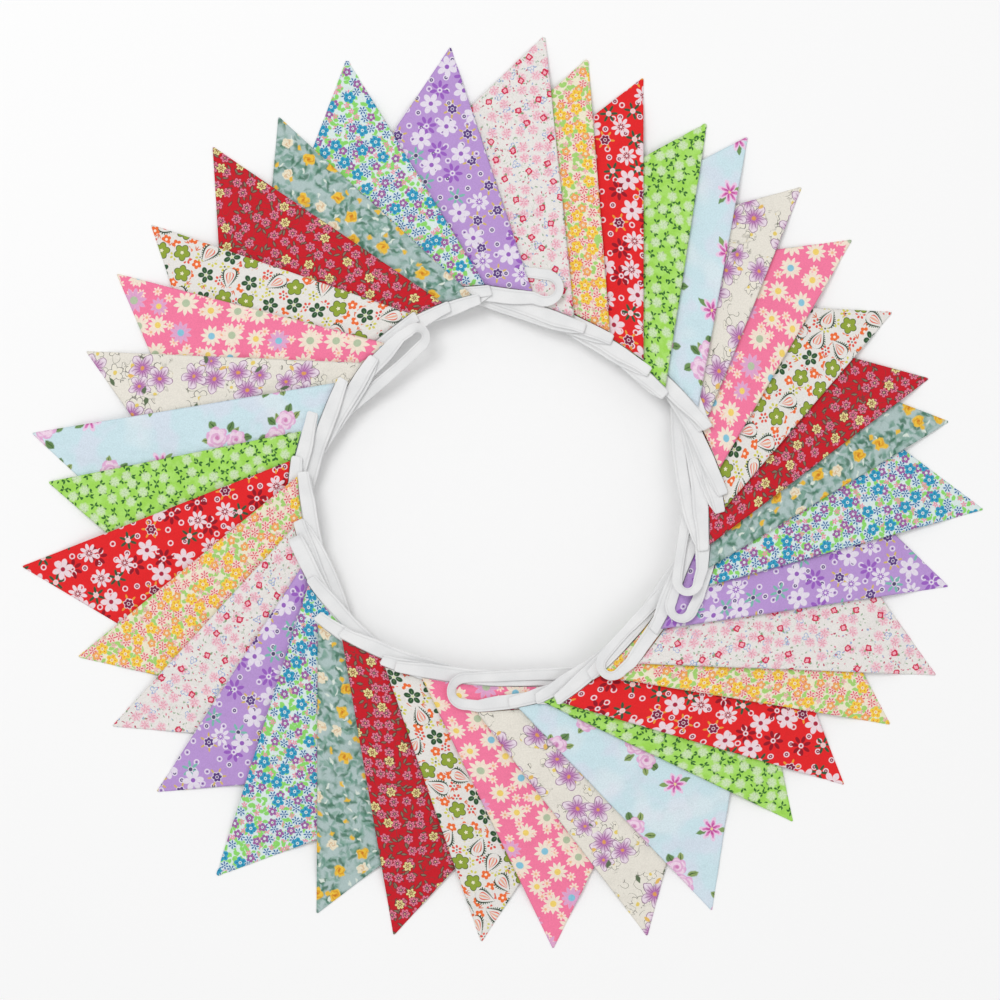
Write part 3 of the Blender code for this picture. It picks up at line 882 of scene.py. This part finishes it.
def pink_daisy():
    p = Print("pink_daisy_cotton", (249, 126, 164))
    small = p.scatter(9.5, 0.55, 15.0, (2.0, 9.0))
    on = small.two.within(0.0, 0.55)
    p.paint(p.petals(small, 7, 2.1, 1.5, 0.75) * on, (252, 222, 208))
    p.paint(p.dot(small, 1.0) * on, (246, 186, 150))
    large = p.scatter(18.5, 0.3, 36.0, (5.0, 14.0))
    size = large.three * 0.34 + 0.76
    spot = large._replace(r=large.r / size)
    lilac = large.two.within(0.8, 1.0)
    rays = p.petal(spot, 10, 5.1, 3.9, 1.5, pointed=True).below(1.0, 0.15)
    for colour, on in (((247, 230, 212), 1.0), ((228, 168, 208), lilac)):
        p.paint(p.dot(spot, 3.5) * on, colour)
        p.paint(rays * on, colour)
    for low, high, colour in (
        (0.0, 0.45, (246, 214, 112)),
        (0.45, 0.7, (138, 200, 222)),
        (0.7, 1.0, (184, 200, 168)),
    ):
        p.paint(p.dot(spot, 2.7, 0.35) * large.three.within(low, high), colour)
    return p.done()


def ivory_line():
    """Outlined purple flowers in loose clusters, with stems and small flowers drawn in ink."""
    p = Print("ivory_line_cotton", (235, 230, 219))
    wet = p.smear(5.0, 1.8)
    group = p.scatter(36.0, 0.25, 22.0, (17.0, 9.0), wet)
    near = (group.r + p.noise(11.0, 1.0, (7, 2)) * 26.0).below(29.0, 0.9)
    stems = (p.noise(8.0, 0.0, (3, 1)) - 0.5).math("ABSOLUTE").below(0.013, 0.008)
    p.paint(stems * near * 0.85, (84, 88, 70))
    for cell, turn, share, size in ((11.5, 25.0, 0.5, 1.5), (15.0, 60.0, 0.6, 1.95)):
        drawn = p.scatter(cell, 0.6, turn, (1.0, 5.0), wet)
        on = near * drawn.two.within(0.0, share)
        f = p.petal(drawn, 5, 1.9 * size, 1.6 * size, 1.25 * size)
        p.paint(f.below(1.0, 0.14) * on, (66, 62, 64))
        p.paint(f.below(0.76, 0.14) * on, (238, 233, 219))
        p.paint(p.dot(drawn, 0.8 * size) * on, (234, 208, 110))
    three = ((7.0, 0.0, 1.12, 1.0), (-7.5, 5.0, 1.02, 0.9), (-2.5, -10.5, 0.86, 0.75))
    for x, y, size, share in three:
        bloom = p.aside(group, x, y)
        on = group.three.within(0.0, share)
        f = p.petal(bloom, 5, 5.4 * size, 4.6 * size, 3.1 * size)
        glow = bloom.r.below(4.6 * size, 3.8 * size)
        p.paint(f.below(1.0, 0.12) * on, (128, 66, 128))
        p.paint(f.below(0.82, 0.12) * on, (238, 224, 234))
        p.paint(f.below(0.82, 0.12) * glow * on, (184, 104, 176))
        rays = p.veins(bloom, 15) * f.below(0.7, 0.3) * bloom.r.below(7.0 * size, 2.5)
        p.paint(rays * on * 0.7, (136, 58, 132))
        p.paint(p.dot(bloom, 1.3 * size, 0.5) * on, (228, 160, 92))
    p.paint(p.leaf(group, 12.0, 3.6, 1.6, 2.2) * near, (96, 114, 84))
    p.paint(p.leaf(group, 13.0, 2.6, 1.4, 0.9) * near, (232, 190, 104))
    return p.done()


def pale_blue_rose():
    """Pairs of soft roses with leaves, and single star flowers, far apart on a clouded ground."""
    p = Print("pale_blue_rose_cotton", (207, 231, 238))
    cloud = p.noise(26.0, 2.0, (5, 2)).over(0.55, 0.1)
    p.paint(cloud * 0.5, (224, 224, 240))
    p.paint(p.noise(34.0, 1.0, (15, 22)).over(0.6, 0.1) * 0.4, (236, 240, 244))
    wet = p.smear(3.5, 1.5)
    group = p.scatter(43.0, 0.3, 30.0, (12.0, 7.0), wet)
    leaves = (
        (15.5, 4.2, 2.9, 0.35, (104, 138, 84)),
        (15.0, 3.8, 2.3, -0.15, (150, 170, 104)),
        (14.5, 4.2, 2.7, 2.65, (112, 148, 88)),
        (14.5, 3.8, 2.2, 3.5, (146, 168, 104)),
        (9.5, 4.6, 2.7, 1.5, (98, 134, 78)),
        (9.0, 4.2, 2.0, 1.0, (150, 172, 104)),
        (9.5, 4.4, 2.3, 4.8, (140, 164, 100)),
    )
    rose = group.two.within(0.0, 0.62)
    for ahead, long, wide, turn, colour in leaves:
        p.paint(p.leaf(group, ahead, long, wide, turn) * rose, colour)
        p.paint(p.leaf(group, ahead, long * 0.85, 0.35, turn) * rose, (66, 98, 56))
    for x, y, size in ((-6.8, 1.0, 1.12), (7.4, -1.5, 0.98)):
        bloom = p.aside(group, x, y)
        curl = (bloom.r * (1.5 / size) + bloom.angle).math("SINE").over(0.3, 0.35)
        p.paint(p.petals(bloom, 6, 3.9 * size, 3.7 * size, 3.4 * size, 0.2) * rose, (230, 176, 216))
        inner = p.petals(bloom, 5, 3.4 * size, 3.2 * size, 2.8 * size, 0.35)
        p.paint(inner * rose, (243, 216, 234))
        p.paint(curl * p.dot(bloom, 5.2 * size, 0.9) * rose * 0.7, (222, 158, 206))
        p.paint(p.dot(bloom, 1.5 * size, 0.8) * rose, (212, 132, 184))
    star = group.two.within(0.62, 1.0)
    p.paint(p.leaf(group, 8.0, 4.4, 1.9, 1.2) * star, (112, 150, 90))
    p.paint(p.leaf(group, 8.0, 4.0, 1.7, 4.0) * star, (136, 166, 100))
    p.paint(p.petals(group, 7, 5.0, 4.2, 1.9, 0.25) * star, (238, 208, 232))
    p.paint(p.petals(group, 7, 3.8, 3.0, 1.1, 0.4) * star, (222, 128, 190))
    p.paint(p.petals(group, 7, 2.6, 2.0, 0.5, 0.4) * star, (196, 84, 156))
    p.paint(p.dot(group, 1.0) * star, (240, 220, 150))
    return p.done()


def lime():
    p = Print("lime_cotton", (162, 220, 88))
    p.paint(p.noise(7.0, 1.0, (4, 4)).over(0.5, 0.15) * 0.6, (180, 232, 120))
    wet = p.smear(2.2, 1.2)
    sprigs = p.scatter(8.4, 0.5, 26.0, (3.0, 8.0), wet)
    for turn in (0.0, 0.9, 2.7, 3.9):
        p.paint(p.leaf(sprigs, 2.1, 1.5, 0.72, turn, 0.3), (52, 106, 46))
    p.paint(p.leaf(sprigs, 0.0, 2.8, 0.3, 0.4, 0.3), (84, 140, 60))
    ticks = p.scatter(7.0, 0.7, 71.0, (5.0, 2.0), wet)
    p.paint(p.leaf(ticks, 0.0, 1.4, 0.6) * ticks.two.within(0.0, 0.5), (52, 106, 46))
    blooms = p.scatter(10.4, 0.45, 52.0, (6.0, 1.0), wet)
    on = blooms.two.within(0.0, 0.78)
    p.paint(p.petals(blooms, 7, 2.0, 1.9, 1.5, 0.7) * on * 0.85, (204, 232, 172))
    p.paint(p.petals(blooms, 6, 1.6, 1.3, 0.7, 0.7) * on * 0.7, (220, 236, 204))
    p.paint(p.veins(blooms, 6, 0.5) * p.dot(blooms, 2.2, 0.6) * on * 0.35, (150, 190, 140))
    return p.done()


def white_rosebud():
    p = Print("white_rosebud_cotton", (236, 232, 228))
    wet = p.smear(2.2, 1.6)
    twigs = (p.noise(5.5, 1.0, (2, 7)) - 0.5).math("ABSOLUTE").below(0.01, 0.01)
    p.paint(twigs * p.noise(11.0, 0.0, (6, 6)).over(0.48, 0.06) * 0.55, (164, 184, 158))
    for cell, turn, share, colour in (
        (4.2, 10.0, 0.4, (226, 140, 158)),
        (4.8, 50.0, 0.5, (156, 180, 150)),
        (5.2, 75.0, 0.3, (190, 84, 108)),
        (6.0, 30.0, 0.3, (160, 176, 210)),
    ):
        specks = p.scatter(cell, 0.9, turn, (cell, turn), wet)
        p.paint(p.leaf(specks, 0.0, 1.0, 0.5, 0.0, 0.3) * specks.two.within(0.0, share), colour)
    blue = p.scatter(13.0, 0.6, 33.0, (9.0, 2.0), wet)
    outline = (p.petal(blue, 3, 1.4, 1.6, 1.3) - 0.9).math("ABSOLUTE").below(0.35, 0.2)
    p.paint(outline * blue.two.within(0.0, 0.55), (150, 170, 216))
    soft = p.scatter(10.5, 0.5, 22.0, (3.0, 3.0), wet)
    on = soft.two.within(0.0, 0.7)
    p.paint(p.petals(soft, 5, 2.2, 1.9, 1.7, 0.5) * on * 0.75, (244, 208, 216))
    p.paint(p.petals(soft, 6, 1.8, 1.4, 0.45, 0.5) * on * 0.8, (234, 150, 174))
    p.paint(p.petals(soft, 5, 3.1, 0.7, 0.5, 0.5, 0.4) * on * 0.8, (238, 184, 196))
    buds = p.scatter(15.0, 0.5, 47.0, (8.0, 5.0), wet)
    on = buds.two.within(0.0, 0.75)
    p.paint(p.leaf(buds, 2.9, 1.7, 0.9, 0.0) * on, (140, 166, 130))
    p.paint(p.petals(buds, 4, 1.0, 1.7, 1.6, 0.2) * on, (212, 48, 84))
    p.paint(p.petals(buds, 4, 0.7, 0.8, 0.7, 0.4) * on, (246, 176, 190))
    return p.done()


def tape_cotton():
    p = Print("tape_cotton", (240, 240, 240), 0.8)
    # Painted shade: soft grey patches over the white tape, for the shading of its gentle
    # undulations.
    shade = p.noise(26.0, 2.0).over(0.5, 0.2)
    p.paint(shade * 0.5, (224, 225, 226))
    return p.done(0.04, 0.35, hemmed=False)


# Colours of the two kinds of print that come twice
LILAC = (
    (188, 152, 214), (232, 224, 238), (154, 100, 190), (156, 98, 194), (214, 184, 108),
    (96, 64, 132), (126, 188, 176), (84, 78, 112), (88, 68, 122),
)
RED = (
    (232, 34, 38), (240, 218, 224), (176, 40, 66), (152, 18, 36), (236, 160, 60),
    (128, 26, 66), (58, 88, 60), (244, 200, 196), (146, 32, 62),
)
MAUVE = (
    (222, 236, 234), (142, 218, 108), (54, 160, 196), (24, 104, 160), (164, 104, 166),
    (116, 66, 132), (42, 100, 156), (208, 228, 238), (236, 150, 172),
)
YELLOW = (
    (242, 234, 208), (168, 214, 116), (248, 208, 74), (232, 124, 50), (244, 164, 96),
    (242, 206, 110), (226, 98, 112), (248, 218, 206), (242, 176, 182),
)


def cotton_materials():
    return (
        ("print_lilac", tossed("lilac_cotton", *LILAC)),
        ("print_mauve_ditsy", ditsy("mauve_ditsy_cotton", *MAUVE)),
        ("print_grey_teal", grey_teal()),
        ("print_dark_red", dark_red()),
        ("print_ivory_paisley", ivory_paisley()),
        ("print_pink_daisy", pink_daisy()),
        ("print_ivory_line", ivory_line()),
        ("print_pale_blue_rose", pale_blue_rose()),
        ("print_lime", lime()),
        ("print_red_floral", tossed("red_floral_cotton", *RED)),
        ("print_yellow_ditsy", ditsy("yellow_ditsy_cotton", *YELLOW)),
        ("print_white_rosebud", white_rosebud()),
    )


# Floor, light and camera: metres
FLOOR_SIZE = 8.0
WORLD_STRENGTH = 0.63
SENSOR_WIDTH = 36.0
CAMERA_HEIGHT = 3.0
VIEW_WIDTH = 0.75
VIEW_MIDDLE = Vector((-0.001875, -0.006, 0.0))


def stage():
    bpy.ops.mesh.primitive_plane_add(size=FLOOR_SIZE, location=(0.0, 0.0, 0.0))
    floor = bpy.context.object
    floor.name = "floor"
    material = bpy.data.materials.new("floor_white")
    material.use_nodes = True
    shader = material.node_tree.nodes["Principled BSDF"]
    shader.inputs["Base Color"].default_value = (0.99, 0.99, 0.99, 1.0)
    shader.inputs["Roughness"].default_value = 0.9
    shader.inputs["Specular IOR Level"].default_value = 0.1
    floor.data.materials.append(material)
    return floor


def area_light(name, place, size, watts):
    """A round light that points at the middle of the ring."""
    data = bpy.data.lights.new(name, "AREA")
    data.shape = "DISK"
    data.size = size
    data.energy = watts
    light = bpy.data.objects.new(name, data)
    light.location = place
    light.rotation_euler = (-Vector(place)).to_track_quat("-Z", "Y").to_euler()
    bpy.context.scene.collection.objects.link(light)


def light_and_camera():
    world = bpy.data.worlds.new("studio")
    world.use_nodes = True
    background = world.node_tree.nodes["Background"]
    background.inputs["Color"].default_value = (1.0, 1.0, 1.0, 1.0)
    background.inputs["Strength"].default_value = WORLD_STRENGTH
    bpy.context.scene.world = world
    area_light("key", (-1.1, 1.3, 3.0), 1.7, 37.0)
    area_light("fill", (1.7, -1.3, 2.6), 2.2, 11.5)
    view = bpy.context.scene.view_settings
    view.view_transform = "Standard"
    view.look = "None"
    data = bpy.data.cameras.new("camera")
    data.sensor_width = SENSOR_WIDTH
    data.lens = SENSOR_WIDTH * CAMERA_HEIGHT / VIEW_WIDTH
    camera = bpy.data.objects.new("camera", data)
    middle = FRAME_SHIFT * MM + VIEW_MIDDLE
    camera.location = (middle.x, middle.y, CAMERA_HEIGHT)
    bpy.context.scene.collection.objects.link(camera)
    bpy.context.scene.camera = camera


def shift_print(obj, number):
    """Each pennant is cut from another place of its cloth, and some the other way up."""
    turned = -1.0 if number % 5 in (1, 3) else 1.0
    offset = ((number * 0.037) % 0.25, (number * 0.061) % 0.25)
    for loop in obj.data.uv_layers["UVMap"].data:
        loop.uv = (loop.uv[0] * turned + offset[0], loop.uv[1] * turned + offset[1])


def main():
    cottons = cotton_materials()
    for number in range(1, COUNT + 1):
        slot, material = cottons[(number - 1) % len(cottons)]
        name = f"cloth_{number:02d}"
        obj = piece(name, pennant_mesh(number), material, f"pennant_{number:02d}")
        shift_print(obj, number)
        sides = sides_of(number)
        drop = row_of(number)[0].drop
        2.0 * sides.half * MM
        drop * MM
        sides.half * drop * MM * MM
    mesh, length = tape_mesh()
    tape = piece("binding_tape", mesh, tape_cotton(), "tape")
    length * MM
    stage()
    light_and_camera()


main()
